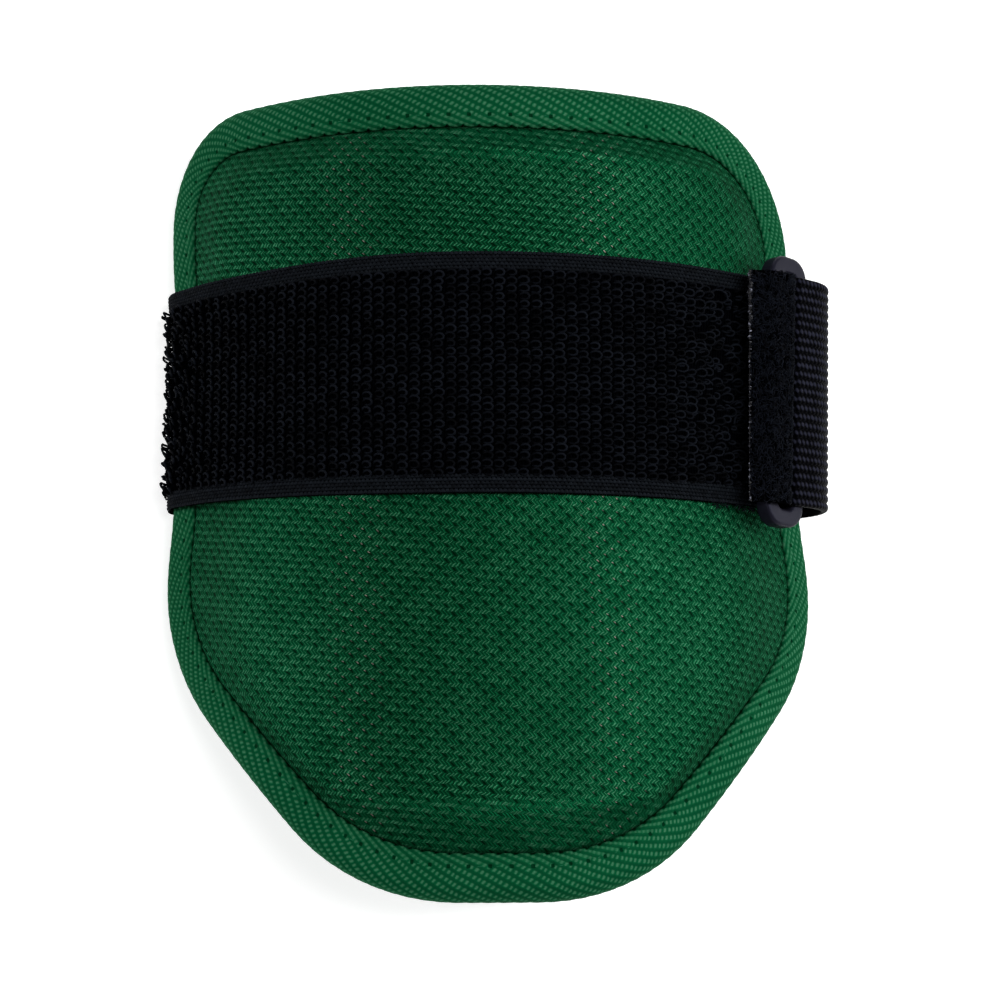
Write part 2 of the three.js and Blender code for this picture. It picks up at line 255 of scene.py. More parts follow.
def rounded_outline(corners):
    """Evenly spaced points of a closed outline, run clockwise, their inward directions, and its length."""
    places = np.array([c[:2] for c in corners], float)
    points, inwards = [], []
    for i, (_, _, radius) in enumerate(corners):
        before = unit(places[i - 1] - places[i])
        after = unit(places[(i + 1) % len(places)] - places[i])
        half = acos(before @ after) / 2
        centre = places[i] + unit(before + after) * radius / sin(half)
        start = places[i] + before * radius / tan(half) - centre
        turn = pi - 2 * half
        angle = atan2(start[1], start[0]) - np.linspace(0, turn, CORNER_STEPS)
        out = joined(np.cos(angle), np.sin(angle))
        points.append(centre + radius * out)
        inwards.append(-out)
    points, inwards = np.concatenate(points), np.concatenate(inwards)
    points, inwards = np.r_[points, points[:1]], np.r_[inwards, inwards[:1]]
    along = np.r_[0, np.cumsum(np.linalg.norm(np.diff(points, axis=0), axis=1))]
    at = np.arange(RIM_STATIONS) * along[-1] / RIM_STATIONS

    def sample(values):
        return joined(*(np.interp(at, along, column) for column in values.T))

    return sample(points), unit(sample(inwards)), along[-1]


def polar(across, along):
    """Distance and direction from the shell's middle, on the flat pattern."""
    right, up = across - SHELL_MIDDLE[0], along - SHELL_MIDDLE[1]
    return np.hypot(right, up), np.arctan2(up, right)


def radial_reach(points):
    """The outline's distance from the shell's middle, as a function of direction."""
    reach, angle = polar(points[:, 0], points[:, 1])
    order = np.argsort(angle)
    return lambda direction: np.interp(direction, angle[order], reach[order], period=TAU)


SIDE_SOFTENING = 12.0
CREASE = 0.25
EDGE_HEIGHT = 1.2
TUCK_START = 0.35
TUCK_WIDTH = 0.9
HEM_OVERLAP = 1.6
FACET_HALF = 23.0
FACET_DIP = 1.8
FACET_SOFTNESS = 0.02
FACET_FADE = 14.0
FACET_OVERRUN = 6.0
STRAP_PRESS_REACH = 30.0
STRAP_PRESS_SHARE = 0.75
rim_points, rim_inward, RIM_LENGTH = rounded_outline(OUTLINE_CORNERS)
panel_reach = radial_reach(rounded_outline(PANEL_CORNERS)[0])
foot_reach = radial_reach(rim_points + rim_inward * TAPE_WIDTH)
hem_reach = radial_reach(rim_points + rim_inward * (TAPE_WIDTH - HEM_OVERLAP))

# Pitches that go a whole number of times round the rim.
RIB_FIT = RIM_LENGTH / round(RIM_LENGTH / RIB_PITCH)
BEAD_FIT = RIM_LENGTH / round(RIM_LENGTH / BEAD_PITCH)
STITCH_COUNT = round(RIM_LENGTH / STITCH_PITCH)
STITCH_FIT = RIM_LENGTH / STITCH_COUNT


def pad_height(across, along):
    """The cover's height above the flange: a raised panel with bevels that run down to the binding."""
    reach, direction = polar(across, along)
    panel, foot = panel_reach(direction), foot_reach(direction)
    sideways = np.abs(np.cos(direction)) ** 2
    share = np.clip((reach - panel) / (foot - panel), 0, 1)
    crisp = np.where(share < CREASE, share ** 2 / (2 * CREASE), share - CREASE / 2) / (1 - CREASE / 2)
    start = panel - SIDE_SOFTENING * sideways
    soft = ease((reach - start) / (foot - start))
    fall = crisp * (1 - sideways) + soft * sideways
    tucked = ease((foot - reach + TUCK_START) / TUCK_WIDTH)
    return (EDGE_HEIGHT + (PANEL_RISE - EDGE_HEIGHT) * (1 - fall)) * tucked


def facet_dip(across, along):
    """How far the cover's middle, between two soft folds, lies below the round crown."""
    inside = 1 - ((across + SKEW * along) / FACET_HALF) ** 2
    inside = (inside + np.sqrt(inside ** 2 + FACET_SOFTNESS)) / 2
    under_strap = np.exp(-((along / STRAP_PRESS_REACH) ** 6))
    from_top = ease((BEVEL_TOP + FACET_OVERRUN - along) / FACET_FADE)
    from_bottom = ease((along - BEVEL_BOTTOM + FACET_OVERRUN) / FACET_FADE)
    return FACET_DIP * inside * (1 - STRAP_PRESS_SHARE * under_strap) * from_top * from_bottom


# Helpers: routes of the straps in the X-Z plane

def neck_at(x):
    return 1 - NECK_SHARE * ease((-x - NECK_START) / (NECK_END - NECK_START))


def walk(start, heading, legs, steps):
    """Places, directions to the right and distances along a route of (length, turn) legs."""
    place, angle = np.array(start, float), heading
    places, angles, distances = [place.copy()], [angle], [0.0]
    for (length, turn), count in zip(legs, steps, strict=True):
        share = turn / count
        chord = length / count * (sin(share / 2) / (share / 2) if turn else 1)
        for _ in range(count):
            angle += share / 2
            place = place + chord * np.array([cos(angle), sin(angle)])
            angle += share / 2
            places.append(place)
            angles.append(angle)
            distances.append(distances[-1] + length / count)
    angles = np.array(angles)
    right = joined(np.sin(angles), -np.cos(angles))
    return np.array(places), right, np.array(distances)


def straight(length):
    return length, 0.0


def arc(turn, radius):
    return abs(turn) * radius, turn


STRAP_LIFT = PANEL_RISE + GAP
BAR_CLEARANCE = GAP + PILE_DEPTH
BAR_WIDTH = (RING_WIDTH - SLOT_WIDTH) / 2
RING_LIFT = STRAP_LIFT + BAR_CLEARANCE + RING_DEPTH / 2


def ring_frame(along):
    """The ring's lean at a place along the arm, and a function for places on it: down the flank, and out."""
    lean = RING_LEAN + RING_SKEW * along / (FLANK_RADIUS + RING_LIFT)
    down = np.array([cos(lean), -sin(lean)])
    out = np.array([sin(lean), cos(lean)])
    centre = np.array(arch(lean)) + out * RING_LIFT + down * SLOT_WIDTH / 2
    return lean, lambda downward, outward: centre + down * downward + out * outward


def left_edge_lean(along):
    lower, upper = OUTLINE_CORNERS[-2:]
    share = (upper[1] - along) / (upper[1] - lower[1])
    across = upper[0] + share * (lower[0] - upper[0])
    return float(lean_at(-(across + SKEW * along) * waist_at(along)))


# Steps on each leg of the strap, and the stations where its runs begin.
STRAP_STEPS = [3, 8, 4, 8, 3, 8, 20, 72, 24, 12, 8, 10, 40]
FOLD_STATION = sum(STRAP_STEPS[:3])
FRONT_STATION = sum(STRAP_STEPS[:6])
EDGE_STATION = sum(STRAP_STEPS[:9])
FLOOR_STATION = sum(STRAP_STEPS[:11]) + STRAP_STEPS[11] // 2


def strap_route(along):
    """The strap's napped face: folded over the ring's bar, over the guard, round the left edge, and back."""
    edge = arch(left_edge_lean(along))[0] + 2 * GAP
    flank_origin = (CROWN_RADIUS - FLANK_RADIUS) * sin(CROWN_HALF)
    flank_radius = FLANK_RADIUS + STRAP_LIFT
    roll = asin((edge - flank_origin - EDGE_ROLL_RADIUS) / (flank_radius - EDGE_ROLL_RADIUS))
    roll_end = arch(roll)[1] + (STRAP_LIFT - EDGE_ROLL_RADIUS) * cos(roll)
    tail = FOLD_TAIL + FOLD_TAIL_SLOPE * along
    fold_run = tail * cos(FOLD_DROOP) + FOLD_BEND_RADIUS * sin(FOLD_DROOP)
    fold_sink = tail * sin(FOLD_DROOP) + FOLD_BEND_RADIUS * (1 - cos(FOLD_DROOP))
    lean, place = ring_frame(along)
    start = place(-RING_WIDTH / 2 - fold_run, RING_DEPTH / 2 + BAR_CLEARANCE - fold_sink)
    return walk(start, FOLD_DROOP - lean, [
        straight(tail),
        arc(-FOLD_DROOP, FOLD_BEND_RADIUS),
        straight(BAR_WIDTH),
        arc(-pi / 2, BAR_CLEARANCE),
        straight(RING_DEPTH),
        arc(-pi / 2, BAR_CLEARANCE),
        arc(lean - CROWN_HALF, flank_radius),
        arc(2 * CROWN_HALF, CROWN_RADIUS + STRAP_LIFT),
        arc(roll - CROWN_HALF, flank_radius),
        arc(pi / 2 - roll, EDGE_ROLL_RADIUS),
        straight(roll_end - EDGE_FOOT_RADIUS - PILE_DEPTH),
        arc(pi / 2, EDGE_FOOT_RADIUS),
        straight(STRAP_END_ACROSS + edge - EDGE_FOOT_RADIUS),
    ], STRAP_STEPS)


WEB_STEPS = [6, 8, 12, 8, 12, 84, 12, 4, 4, 12]
WEB_BAR_STATION = WEB_STEPS[0] + WEB_STEPS[1] // 2


def webbing_route(along):
    """The webbing's ribbed face: out from under the ring's bar, over it, round the edge, and lapped."""
    clearance = GAP + WEB_DEPTH
    lean, place = ring_frame(along)
    start = place(SLOT_WIDTH / 2 + WEB_TAIL, -RING_DEPTH / 2 - clearance)
    over_bar = BAR_WIDTH + WEB_LEAD
    loop_start = place(SLOT_WIDTH / 2 + over_bar, RING_DEPTH / 2 + clearance)
    loop_radius = loop_start[1] / (1 + cos(lean))
    loop_foot = loop_start[0] - loop_radius * sin(lean)
    lap_rise = PILE_DEPTH + GAP
    lap_radius = lap_rise / (2 * (1 - cos(LAP_TURN)))
    lap_start = STRAP_END_ACROSS + 2 * lap_radius * sin(LAP_TURN) + 2 * GAP
    return walk(start, pi - lean, [
        straight(WEB_TAIL),
        arc(-pi / 2, clearance),
        straight(RING_DEPTH),
        arc(-pi / 2, clearance),
        straight(over_bar),
        arc(lean - pi, loop_radius),
        straight(loop_foot - lap_start),
        arc(-LAP_TURN, lap_radius),
        arc(LAP_TURN, lap_radius),
        straight(STRAP_END_ACROSS - LAP_END_ACROSS),
    ], WEB_STEPS)


def band_piece(name, points, uv, material, slot):
    """A piece from the points [station, corner] of a band, closed at both ends."""
    stations, corners = points.shape[:2]
    around = grid_quads(stations, corners, columns_meet=True)
    first = np.arange(corners)[None, :]
    last = first[:, ::-1] + (stations - 1) * corners
    faces = [around[:, ::-1], first, last]
    return make_piece(name, points.reshape(-1, 3), faces, material, slot, uv.reshape(-1, 2))


# Helpers: materials

GREEN_GLOSS = (0.2, 1.0, 0.6, 1)
COVER_GLOSS = (0.25, 0.56, 0.5, 1)
BLUE_GLOSS = (0.66, 0.68, 1.0, 1)


class Value:
    """A number that varies over a surface, for the formulas of a Shader."""

    def __init__(self, shader, socket):
        self.shader = shader
        self.socket = socket

    def math(self, operation, *others):
        return self.shader.math(operation, self, *others)

    def __add__(self, other):
        return self.math("ADD", other)

    def __sub__(self, other):
        return self.math("SUBTRACT", other)

    def __rsub__(self, other):
        return self.shader.math("SUBTRACT", other, self)

    def __mul__(self, other):
        return self.math("MULTIPLY", other)

    def __truediv__(self, number):
        return self.math("MULTIPLY", 1 / number)

    def __pow__(self, power):
        return self.math("POWER", power)

    def __abs__(self):
        return self.math("ABSOLUTE")

    def wave(self):
        """1 at whole numbers, and -1 half way between them."""
        return (self * TAU).math("COSINE")

    def between(self, low, high):
        """0 at low and 1 at high, with a smooth way between them."""
        inputs = {"Value": self, "From Min": low, "From Max": high}
        made = self.shader.node("MapRange", inputs, interpolation_type="SMOOTHSTEP")
        return self.shader.value(made, "Result")


class Shader:
    """A node material with one Principled shader. Constant looks are set on its sockets."""

    def __init__(self, name, **sockets):
        self.material = bpy.data.materials.new(name)
        self.material.use_nodes = True
        self.tree = self.material.node_tree
        self.surface = self.tree.nodes["Principled BSDF"]
        for label, value in sockets.items():
            self.surface.inputs[label.replace("_", " ")].default_value = value
        self.place = self.value(self.node("TexCoord"), "Object")

    def node(self, kind, inputs=(), **settings):
        made = self.tree.nodes.new("ShaderNode" + kind)
        for key, value in settings.items():
            setattr(made, key, value)
        for key, value in dict(inputs).items():
            self.put(made.inputs[key], value)
        return made

    def value(self, node, output):
        return Value(self, node.outputs[output])

    def put(self, socket, value):
        if isinstance(value, Value):
            self.tree.links.new(value.socket, socket)
        else:
            socket.default_value = value

    def math(self, operation, *values):
        return self.value(self.node("Math", enumerate(values), operation=operation), 0)

    def pattern(self):
        """The two coordinates of the piece's pattern, in millimetres."""
        place = self.value(self.node("UVMap", uv_map="pattern"), "UV")
        split = self.node("SeparateXYZ", {"Vector": place})
        return self.value(split, "X"), self.value(split, "Y")

    def vector(self, x, y):
        return self.value(self.node("CombineXYZ", {"X": x, "Y": y}), "Vector")

    def noise(self, scale, detail=2.0, place=None):
        inputs = {"Vector": place or self.place, "Scale": scale, "Detail": detail}
        return self.value(self.node("TexNoise", inputs), "Fac")

    def geometry(self, output):
        return self.value(self.node("NewGeometry"), output)

    def ramp(self, value, stops):
        made = self.node("ValToRGB", {"Fac": value})
        points = made.color_ramp.elements
        while len(points) < len(stops):
            points.new(0.5)
        for point, (position, colour) in zip(points, stops):
            point.position = position
            point.color = (*colour, 1)
        return self.value(made, "Color")

    def mix(self, share, a, b):
        return self.value(self.node("Mix", {0: share, 6: a, 7: b}, data_type="RGBA"), 2)

    def bump(self, height, distance, strength):
        made = self.node("Bump", {"Height": height, "Distance": distance * MM, "Strength": strength})
        self.put(self.surface.inputs["Normal"], self.value(made, "Normal"))

    def colour(self, value):
        self.put(self.surface.inputs["Base Color"], value)

    def rough(self, scale, low, spread):
        self.put(self.surface.inputs["Roughness"], self.noise(scale) * spread + low)


# In the materials, a number beside a layer is its weight, and a colour is linear red, green and blue.
HOLE_HALF_ACROSS = 0.24
HOLE_HALF_ALONG = 0.52
HOLE_SHARE = 0.27
# Where the painted light from the left fades in across the cover.
LEFT_LIGHT_START = 14.0
LEFT_LIGHT_END = -22.0
# Where the painted glints in the knit's holes lie, and their colour.
GLINT_BAND_MIDDLE = -1.5
GLINT_BAND_REACH = 26.0
GLINT_COLOUR = (0.26, 0.22, 0.19, 1)
FIBRES_PER_MM = 9.0
LINING_PITCH = 1.1
COURSE_PITCH = 0.7
WALE_PITCH = 0.9
# The colour of the painted edge highlight on the ring.
EDGE_HIGHLIGHT_PLASTIC = (0.035, 0.035, 0.046, 1)
MELTED_DARK = (0.004, 0.004, 0.006, 1)
MELTED_SPECK = (0.24, 0.25, 0.32, 1)


def cover_material():
    """A knit of fine zigzag yarns in rows, with a staggered pattern of small holes."""
    s = Shader("cover_fabric", Specular_IOR_Level=0.02, Specular_Tint=COVER_GLOSS, Metallic=0.6)
    u, v = s.pattern()
    across = (u - v * KNIT_COLUMN_SLOPE) / KNIT_ACROSS
    along = (v + u * KNIT_ROW_SLOPE) / KNIT_ALONG
    wander = (s.noise(420) - 0.5) * 0.34
    down = (HOLE_ROW - along + wander) * 2.0
    pair = down.math("FLOOR")
    pair_share = down.math("FRACT")
    swing = 1 - abs(pair_share * 2.0 - 1.0)
    slant = (swing - 0.5) * (KNIT_SWING / KNIT_ACROSS)
    column = across + pair * 0.5 + wander * 0.6
    nearest = column.math("ROUND")
    stroke = (((column - slant) * KNIT_STROKES).wave() * 0.5 + 0.5) ** 1.5
    top_bevel = v.between(BEVEL_TOP - 2.2, BEVEL_TOP - 0.4)
    bottom_bevel = v.between(BEVEL_BOTTOM + 1.0, BEVEL_BOTTOM - 1.0)
    bevel = top_bevel.math("MAXIMUM", bottom_bevel)
    falling = pair_share.between(0.6, 0.44)
    rising = 1 - falling
    off_hole = (column - nearest - slant) * KNIT_ACROSS
    off_row = (pair_share - HOLE_SHARE) * (KNIT_ALONG / 2)
    far = ((off_hole / HOLE_HALF_ACROSS) ** 2 + (off_row / HOLE_HALF_ALONG) ** 2).math("SQRT")
    hole = far.between(1.3, 0.6) * (1 - bevel * 0.3)
    # Painted shadow: each hole darkens the rising stroke in line with it.
    tail = abs(off_hole).between(0.75, 0.1) * rising
    crest = rising * (0.5 - column.wave() * 0.5)
    cell_noise = s.node("TexWhiteNoise", {"Vector": s.vector(nearest, pair)}, noise_dimensions="2D")
    cell = s.value(cell_noise, "Value")
    cloud = s.noise(28)
    fibre = s.noise(1, 3.0, s.vector(u * FIBRES_PER_MM, v * FIBRES_PER_MM))
    # Painted light from the left: on the left side the rising strokes get a painted highlight and the
    # falling strokes painted shade, on top of a small lift and dimming everywhere.
    left = u.between(LEFT_LIGHT_START, LEFT_LIGHT_END)
    rising_lift_and_painted_highlight = rising * stroke * (left * 0.08 + 0.04)
    falling_dim_and_painted_shade = falling * (left * 0.05 + bevel * 0.06 + 0.02)
    tone = stroke * (0.46 - bevel * 0.28) + crest * 0.16 + 0.25
    tone = tone + rising_lift_and_painted_highlight - falling_dim_and_painted_shade + bevel * 0.23 - hole * 0.7 - tail * 0.1
    tone = tone + (cell - 0.5) * 0.14 + (cloud - 0.5) * 0.15 + (fibre - 0.5) * 0.4
    # The top stop is paler and less green: a painted sheen on the brightest strokes.
    base = s.ramp(tone, [
        (0.0, (0.0002, 0.008, 0.0028)),
        (0.3, (0.0008, 0.0285, 0.01)),
        (0.62, (0.0016, 0.053, 0.019)),
        (1.0, (0.035, 0.127, 0.068)),
    ])
    # Painted highlights: pale glints in the knit's holes, in two bands along the soft folds.
    band = abs(abs(u - GLINT_BAND_MIDDLE) - GLINT_BAND_REACH).between(7.0, 2.0)
    glint_spot = (off_hole + 0.05) ** 2 + (off_row + 0.3) ** 2
    fleck_and_glint = glint_spot.between(0.05, 0.012) * band * cell.between(0.0, 0.5)
    s.colour(s.mix(fleck_and_glint * 0.6, base, GLINT_COLOUR))
    s.rough(160, 0.38, 0.12)
    s.bump(stroke * 0.7 + crest * 0.3 - hole, 0.14, 0.6)
    return s.material


def lining_material():
    s = Shader("lining_fabric", Specular_IOR_Level=0.02, Specular_Tint=GREEN_GLOSS)
    u, v = s.pattern()
    weave = (u / LINING_PITCH).wave() * 0.5 + (v / LINING_PITCH).wave() * 0.5
    tone = weave * 0.22 + s.noise(90)
    s.colour(s.ramp(tone, [(0.2, (0.0025, 0.02, 0.0085)), (0.8, (0.006, 0.044, 0.019))]))
    s.rough(300, 0.7, 0.15)
    s.bump(weave, 0.2, 0.6)
    return s.material


def tape_material():
    """A twill tape: slanted ribs of beaded yarns, flatter at the hem, with needle holes."""
    s = Shader("binding_tape", Specular_IOR_Level=0.02, Specular_Tint=GREEN_GLOSS, Metallic=0.25)
    d, w = s.pattern()
    turned = (w / -HEM_TURN).math("EXPONENT") * HEM_SHIFT
    wander = (s.noise(380) - 0.5) * 0.8
    rib_phase = (d + w / RIB_SLOPE - turned) / RIB_FIT + wander * 0.2
    rib = rib_phase.wave() * 0.5 + 0.5
    bead_phase = (d - w * BEAD_SLANT) / BEAD_FIT + rib_phase.math("ROUND") * 0.5 + wander
    bead = bead_phase.wave() * 0.5 + 0.5
    flat = w.between(STITCH_INSET + 0.5, STITCH_INSET - 1.0)
    bead = bead * (1 - flat * 0.6) + flat * 0.35
    row = rib.between(-0.1, 0.9)
    yarn = bead * row
    needle = (d / STITCH_FIT).wave().between(-0.75, -0.96)
    pit = needle * abs(w - STITCH_INSET).between(0.5, 0.2)
    cloud = s.noise(40)
    tone = yarn * 0.5 + row * 0.08 + (cloud - 0.5) * 0.25 + 0.26 - pit * 0.8
    # The top stop is paler: a painted sheen on the bead crests.
    s.colour(s.ramp(tone, [
        (0.0, (0.0003, 0.02, 0.0066)),
        (0.45, (0.002, 0.0655, 0.0232)),
        (0.95, (0.044, 0.15, 0.08)),
    ]))
    s.rough(220, 0.5, 0.2)
    s.bump(yarn * 0.5 + row * 0.5, 0.25, 0.7)
    return s.material


def thread_material():
    s = Shader("sewing_thread", Specular_IOR_Level=0.4, Specular_Tint=GREEN_GLOSS)
    s.colour(s.ramp(s.noise(900), [(0.3, (0.001, 0.042, 0.0145)), (0.7, (0.004, 0.085, 0.032))]))
    s.rough(500, 0.45, 0.2)
    return s.material


def black_material(name, dark, light, specular, scale=900.0, by_yarn=0.5):
    """A black yarn whose tone varies from strand to strand and along each one."""
    s = Shader(name, Specular_IOR_Level=specular)
    tone = s.geometry("Random Per Island") * by_yarn + s.noise(scale) * (1.1 - by_yarn)
    s.colour(s.ramp(tone, [(0.25, dark), (0.85, light)]))
    s.rough(scale / 3, 0.65, 0.2)
    return s.material


def elastic_material():
    s = Shader("strap_elastic", Specular_IOR_Level=0.0)
    u, w = s.pattern()
    course = (u / COURSE_PITCH).wave()
    wale = (w / WALE_PITCH).wave()
    tone = course * 0.2 + s.noise(700)
    s.colour(s.ramp(tone, [(0.3, (0.0002, 0.0002, 0.0004)), (0.8, (0.001, 0.0012, 0.0018))]))
    s.rough(400, 0.75, 0.2)
    s.bump(course + wale * 0.5, 0.15, 0.7)
    return s.material


def webbing_material():
    """Ribs of twisted yarn, beaded near the ring and smoother further down."""
    s = Shader("strap_webbing", Specular_IOR_Level=0.02, Specular_Tint=BLUE_GLOSS)
    u, w = s.pattern()
    twist = (u / WEB_TWIST + w * (WEB_SLANT / WEB_PITCH)).wave()
    rib = (w / WEB_PITCH).wave()
    beaded = u.between(WEB_SMOOTH_FROM + 6.0, WEB_SMOOTH_FROM - 1.0)
    # Rib crests lighter and grooves darker: partly the webbing's own pattern, partly painted light and
    # shade.
    tone = twist * 0.3 * (beaded * 0.7 + 0.3) + rib * 0.42 + s.noise(600)
    s.colour(s.ramp(tone, [
        (0.25, (0.0001, 0.0001, 0.0002)),
        (0.6, (0.0008, 0.0009, 0.0017)),
        (1.0, (0.013, 0.0138, 0.0232)),
    ]))
    s.rough(500, 0.5, 0.2)
    s.bump(twist * 0.6 * beaded + s.noise(1500), 0.12, 0.6)
    return s.material


def plastic_material():
    """Satin moulded plastic with a fine grain, and a painted highlight that makes its sharp edges paler."""
    s = Shader("ring_plastic", Specular_IOR_Level=0.12, Specular_Tint=BLUE_GLOSS)
    # Painted highlight: the sharp edges are paler.
    painted_edge_highlight = s.geometry("Pointiness").between(0.515, 0.56)
    base = s.ramp(s.noise(120), [(0.3, (0.005, 0.005, 0.0092)), (0.7, (0.0074, 0.0072, 0.0122))])
    s.colour(s.mix(painted_edge_highlight * 0.5, base, EDGE_HIGHLIGHT_PLASTIC))
    s.rough(1400, 0.36, 0.16)
    s.bump(s.noise(1400), 0.02, 0.5)
    return s.material


def cut_edge_material():
    s = Shader("melted_edge", Specular_IOR_Level=0.3)
    fleck_and_glint = s.noise(1500, 3.0).between(0.55, 0.66)
    s.colour(s.mix(fleck_and_glint, MELTED_DARK, MELTED_SPECK))
    s.rough(800, 0.35, 0.3)
    return s.material


# Camera, light and floor, from a fit of the CAD outline to the photograph

CAMERA_AIM = Vector((0, -25.86, 46)) * MM
CAMERA_DISTANCE = 452.742 * MM
CAMERA_TILT = radians(7.814)
CAMERA_YAW = radians(-0.722)
CAMERA_ROLL = radians(-0.17)
CAMERA_LENS = 79.955
CAMERA_SENSOR = 36
CAMERA_SHIFT = (0.0095, 0.0004)
CAMERA_CLIP = 0.01


def make_camera():
    tilt, yaw, roll = CAMERA_TILT, CAMERA_YAW, CAMERA_ROLL
    back = Vector((sin(yaw) * cos(tilt), -sin(tilt), cos(yaw) * cos(tilt)))
    level = Vector((0, 1, 0)).cross(back).normalized()
    up = back.cross(level)
    right = level * cos(roll) + up * sin(roll)
    up = up * cos(roll) - level * sin(roll)
    data = bpy.data.cameras.new("camera")
    data.sensor_width = CAMERA_SENSOR
    data.lens = CAMERA_LENS
    data.shift_x, data.shift_y = CAMERA_SHIFT
    data.clip_start = CAMERA_CLIP
    camera = add_object("camera", data)
    turn = Matrix((right, up, back)).transposed().to_4x4()
    camera.matrix_world = Matrix.Translation(CAMERA_AIM + back * CAMERA_DISTANCE) @ turn
    bpy.context.scene.camera = camera


LIGHTS = [
    # name, place (m), size along and across (m), power (W)
    ("softbox_right", (0.95, 0.05, 0.26), (1.0, 0.3), 4.6),
    ("softbox_left", (-0.95, 0.02, 0.26), (1.0, 0.3), 4.5),
    ("strip_right", (0.48, 0.05, 0.74), (0.9, 0.1), 6.9),
    ("strip_left", (-0.52, 0.02, 0.62), (0.9, 0.1), 1.7),
    ("softbox_far", (0.0, 0.98, 0.22), (0.3, 0.7), 2.2),
    ("softbox_near", (0.0, -0.98, 0.22), (0.3, 0.7), 1.2),
]
LIGHT_AIM = Vector((0, -0.02, 0.02))
WORLD_STRENGTH = 0.1
FLOOR_GLOW = 0.5
FLOOR_HALF = 20.0


def make_lights():
    for name, place, (length, width), power in LIGHTS:
        data = bpy.data.lights.new(name, "AREA")
        data.shape = "RECTANGLE"
        data.size, data.size_y = width, length
        data.energy = power
        light = add_object(name, data)
        light.location = place
        aim = LIGHT_AIM - Vector(place)
        light.rotation_euler = aim.to_track_quat("-Z", "Y").to_euler()
    world = bpy.data.worlds.new("studio")
    world.use_nodes = True
    background = world.node_tree.nodes["Background"]
    background.inputs["Color"].default_value = WHITE
    background.inputs["Strength"].default_value = WORLD_STRENGTH
    bpy.context.scene.world = world
    bpy.context.scene.view_settings.view_transform = "Standard"


def make_floor():
    s = Shader("floor_paper", Specular_IOR_Level=0.1, Roughness=0.8, Emission_Color=WHITE,
               Emission_Strength=FLOOR_GLOW)
    s.colour(s.ramp(s.noise(3), [(0.3, (0.9, 0.9, 0.9)), (0.7, (0.92, 0.92, 0.92))]))
    corners = [(x * FLOOR_HALF, y * FLOOR_HALF, 0) for x, y in ((-1, -1), (1, -1), (1, 1), (-1, 1))]
    mesh = bpy.data.meshes.new("floor")
    mesh.from_pydata(corners, [], [(0, 1, 2, 3)])
    mesh.materials.append(s.material)
    floor = add_object("floor", mesh)


# The padded shell in its knit cover

KNIT_STEPS = 4
KNIT_BEFORE = 70
KNIT_AFTER = 54
COVER_SINK = 0.12
SHOWN_START = 0.4
SHOWN_WIDTH = 1.2
SWELL = 0.16
SWELL_ACROSS = 9.3
SWELL_ALONG = 11.7
SWELL_FROM = 27
SWELL_FADE = 8
LINING_STEP = 3.0
LINING_MARGIN = 2
LINING_HEIGHT = -FLANGE_DEPTH + 0.2
WELD_DISTANCE = 1e-5


def knit_relief(p, q):
    """Height of the knit in its own squares, from 0 at a hole to 1 between holes."""
    off_p, off_q = p - np.floor(p) - 0.5, q - np.floor(q) - 0.5
    across, along = (off_p + off_q) / 2 * KNIT_ACROSS, (off_p - off_q) / 2 * KNIT_ALONG
    return ease((np.hypot(across / 0.8, along / 0.9) - 0.25) / 0.75)


def knit_grid():
    """The knit inside the hem: places across and along, places in its own squares, and faces."""
    before, after = KNIT_BEFORE * KNIT_STEPS, KNIT_AFTER * KNIT_STEPS
    m, n = np.meshgrid(np.arange(-before, after), np.arange(-after, before), indexing="ij")
    p, q = m / KNIT_STEPS, n / KNIT_STEPS
    shear = 1 + KNIT_ROW_SLOPE * KNIT_COLUMN_SLOPE
    along = (KNIT_ALONG * (p - q) / 2 - KNIT_ROW_SLOPE * KNIT_ACROSS * (p + q) / 2) / shear
    across = KNIT_ACROSS * (p + q) / 2 + KNIT_COLUMN_SLOPE * along
    reach, direction = polar(across, along)
    inside = (reach < hem_reach(direction)).ravel()
    quads = grid_quads(*m.shape)
    used, quads = np.unique(quads[inside[quads].all(1)], return_inverse=True)
    return *(values.ravel()[used] for values in (across, along, p, q)), quads.reshape(-1, 4)


def open_rim(quads):
    """The points on the open edge of some faces, walked once round."""
    edges = np.concatenate([quads[:, [k, (k + 1) % 4]] for k in range(4)])
    pairs = {tuple(e) for e in edges.tolist()}
    onward = {i: j for i, j in pairs if (j, i) not in pairs}
    rim = [min(onward)]
    while onward[rim[-1]] != rim[0]:
        rim.append(onward[rim[-1]])
    return np.array(rim)


def lining_mesh(hem_flat):
    """Flat points and triangles of the lining inside a hem, and the number of each hem point in it."""
    across, along = np.meshgrid(np.arange(-81, 82, LINING_STEP), np.arange(-111, 66, LINING_STEP))
    reach, direction = polar(across, along)
    deep = reach < hem_reach(direction) - LINING_MARGIN
    flat = np.r_[hem_flat, joined(across[deep], along[deep])]
    count = len(hem_flat)
    ring = [(i, (i + 1) % count) for i in range(count)]
    points, _, faces, sources, *_ = delaunay_2d_cdt([Vector(x) for x in flat], ring, [], 1, WELD_DISTANCE)
    on_hem = np.array([next((i for i in given if i < count), -1) for given in sources])
    numbers = np.empty(count, int)
    numbers[on_hem[on_hem >= 0]] = np.flatnonzero(on_hem >= 0)
    return np.array([tuple(x) for x in points]), np.array(faces), numbers


